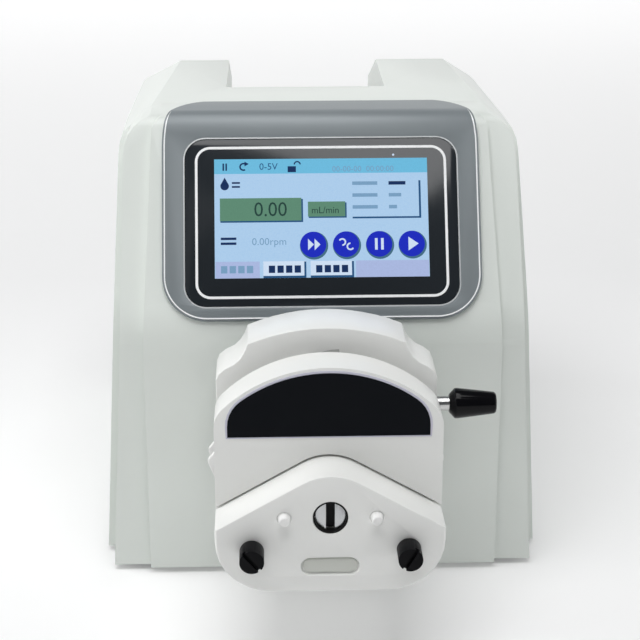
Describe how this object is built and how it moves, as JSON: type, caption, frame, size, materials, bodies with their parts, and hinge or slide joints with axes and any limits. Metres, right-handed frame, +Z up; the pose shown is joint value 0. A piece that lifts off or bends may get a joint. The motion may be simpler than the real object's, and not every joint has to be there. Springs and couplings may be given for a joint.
{
  "type": "peristaltic pump",
  "caption": "Bench peristaltic pump: drive casing with a sloping touch display and an easy-load head whose lever lifts a sliding block off a roller rotor.",
  "frame": {"origin": "centre of the bounding box on the plane the rubber feet stand on", "axes": "+Z up, +Y from the pump head towards the rear panel (the longest side), +X to the right seen from the front"},
  "size_m": [0.203, 0.328, 0.2075],
  "materials": {
    "casing_plastic": "satin",
    "head_plastic": "satin",
    "bridge_plastic": "satin",
    "bezel_metal": "satin",
    "screen_glass": "gloss",
    "screen": "gloss",
    "circuit_board": "satin",
    "sheet_steel": "satin",
    "power_case": "satin",
    "motor_case": "satin",
    "black_plastic": "satin",
    "knob_plastic": "gloss",
    "label_black": "satin",
    "switch_red": "satin",
    "rubber": "matte",
    "bright_steel": "satin",
    "dark_steel": "satin",
    "cast_aluminium": "satin",
    "white_plastic": "satin"
  },
  "bodies": {
    "base": {"front_shell": "casing_plastic", "rear_shell": "casing_plastic", "base_plate": "sheet_steel", "rubber_feet": "rubber", "display_bezel": "bezel_metal", "touch_glass": "screen_glass", "lcd_module": "screen", "control_board": "circuit_board", "motor_bracket": "sheet_steel", "motor_body": "motor_case", "driver_board": "circuit_board", "power_supply": "power_case", "rear_panel": "sheet_steel", "casing_screws": "bright_steel", "fan_frame": "black_plastic", "fan_guard": "bright_steel", "power_inlet": "black_plastic", "switch_frame": "black_plastic", "control_port": "bright_steel", "mount_flange": "cast_aluminium", "head_back_plate": "head_plastic", "lower_front_body": "head_plastic", "lower_rear_body": "head_plastic", "lift_pad": "bright_steel", "guide_posts": "bright_steel", "front_bearing": "bright_steel", "rear_bearing": "bright_steel", "shaft_seal": "rubber", "stack_dowels": "white_plastic", "head_screws": "dark_steel"},
    "upper_block": {"upper_cover": "head_plastic", "upper_bridge": "bridge_plastic", "press_block": "head_plastic", "label_plate": "label_black"},
    "rotor": {"rotor_shaft": "bright_steel", "drive_coupling": "cast_aluminium", "rotor_disc_front": "bright_steel", "rotor_disc_rear": "bright_steel", "roller_pins": "bright_steel"},
    "roller_1": {"roller_1": "white_plastic"},
    "roller_2": {"roller_2": "white_plastic"},
    "roller_3": {"roller_3": "white_plastic"},
    "lever": {"lever_axle": "bright_steel", "lever_cam": "bright_steel", "lever_rod": "bright_steel", "lever_knob": "knob_plastic"},
    "tube_clamp_left": {"tube_clamp_left": "white_plastic"},
    "tube_clamp_right": {"tube_clamp_right": "white_plastic"},
    "clamp_knob_left": {"clamp_knob_left": "black_plastic"},
    "clamp_knob_right": {"clamp_knob_right": "black_plastic"},
    "fan": {"fan_impeller": "black_plastic"},
    "fuse_drawer": {"fuse_drawer": "black_plastic"},
    "switch_rocker": {"switch_rocker": "switch_red"}
  },
  "joints": [
    {"name": "block_lift", "type": "slide", "parent": "base", "child": "upper_block", "axis": [0, 0, 1], "range_m": [0, 0.016]},
    {"name": "lever_turn", "type": "hinge", "parent": "upper_block", "child": "lever", "pos_m": [0, -0.1145, 0.104], "axis": [0, -1, 0], "range_deg": [0, 180]},
    {"name": "rotor_spin", "type": "hinge", "parent": "base", "child": "rotor", "pos_m": [0, -0.09875, 0.0714], "axis": [0, -1, 0], "continuous": true},
    {"name": "roller_1_spin", "type": "hinge", "parent": "rotor", "child": "roller_1", "pos_m": [0, -0.09875, 0.0894], "axis": [0, -1, 0], "continuous": true},
    {"name": "roller_2_spin", "type": "hinge", "parent": "rotor", "child": "roller_2", "pos_m": [-0.01559, -0.09875, 0.0624], "axis": [0, -1, 0], "continuous": true},
    {"name": "roller_3_spin", "type": "hinge", "parent": "rotor", "child": "roller_3", "pos_m": [0.01559, -0.09875, 0.0624], "axis": [0, -1, 0], "continuous": true},
    {"name": "clamp_knob_left_turn", "type": "hinge", "parent": "base", "child": "clamp_knob_left", "pos_m": [-0.032, -0.154, 0.057], "axis": [0, -1, 0], "range_deg": [0, 90]},
    {"name": "tube_clamp_left_lift", "type": "slide", "parent": "base", "child": "tube_clamp_left", "axis": [0, 0, 1], "range_m": [0, 0.003]},
    {"name": "clamp_knob_right_turn", "type": "hinge", "parent": "base", "child": "clamp_knob_right", "pos_m": [0.032, -0.154, 0.057], "axis": [0, -1, 0], "range_deg": [0, 90]},
    {"name": "tube_clamp_right_lift", "type": "slide", "parent": "base", "child": "tube_clamp_right", "axis": [0, 0, 1], "range_m": [0, 0.003]},
    {"name": "fan_spin", "type": "hinge", "parent": "base", "child": "fan", "pos_m": [-0.048, 0.1535, 0.095], "axis": [0, 1, 0], "continuous": true},
    {"name": "fuse_pull", "type": "slide", "parent": "base", "child": "fuse_drawer", "axis": [0, 1, 0], "range_m": [0, 0.02]},
    {"name": "switch_rock", "type": "hinge", "parent": "base", "child": "switch_rocker", "pos_m": [0.052, 0.1576, 0.083], "axis": [1, 0, 0], "range_deg": [-16, 0]}
  ],
  "couplings": [
    {"joint": "block_lift", "follows": "lever_turn", "m_per_rad": 0.0050929},
    {"joint": "clamp_knob_left_turn", "follows": "tube_clamp_left_lift", "rad_per_m": 523.59},
    {"joint": "clamp_knob_right_turn", "follows": "tube_clamp_right_lift", "rad_per_m": 523.59}
  ]
}
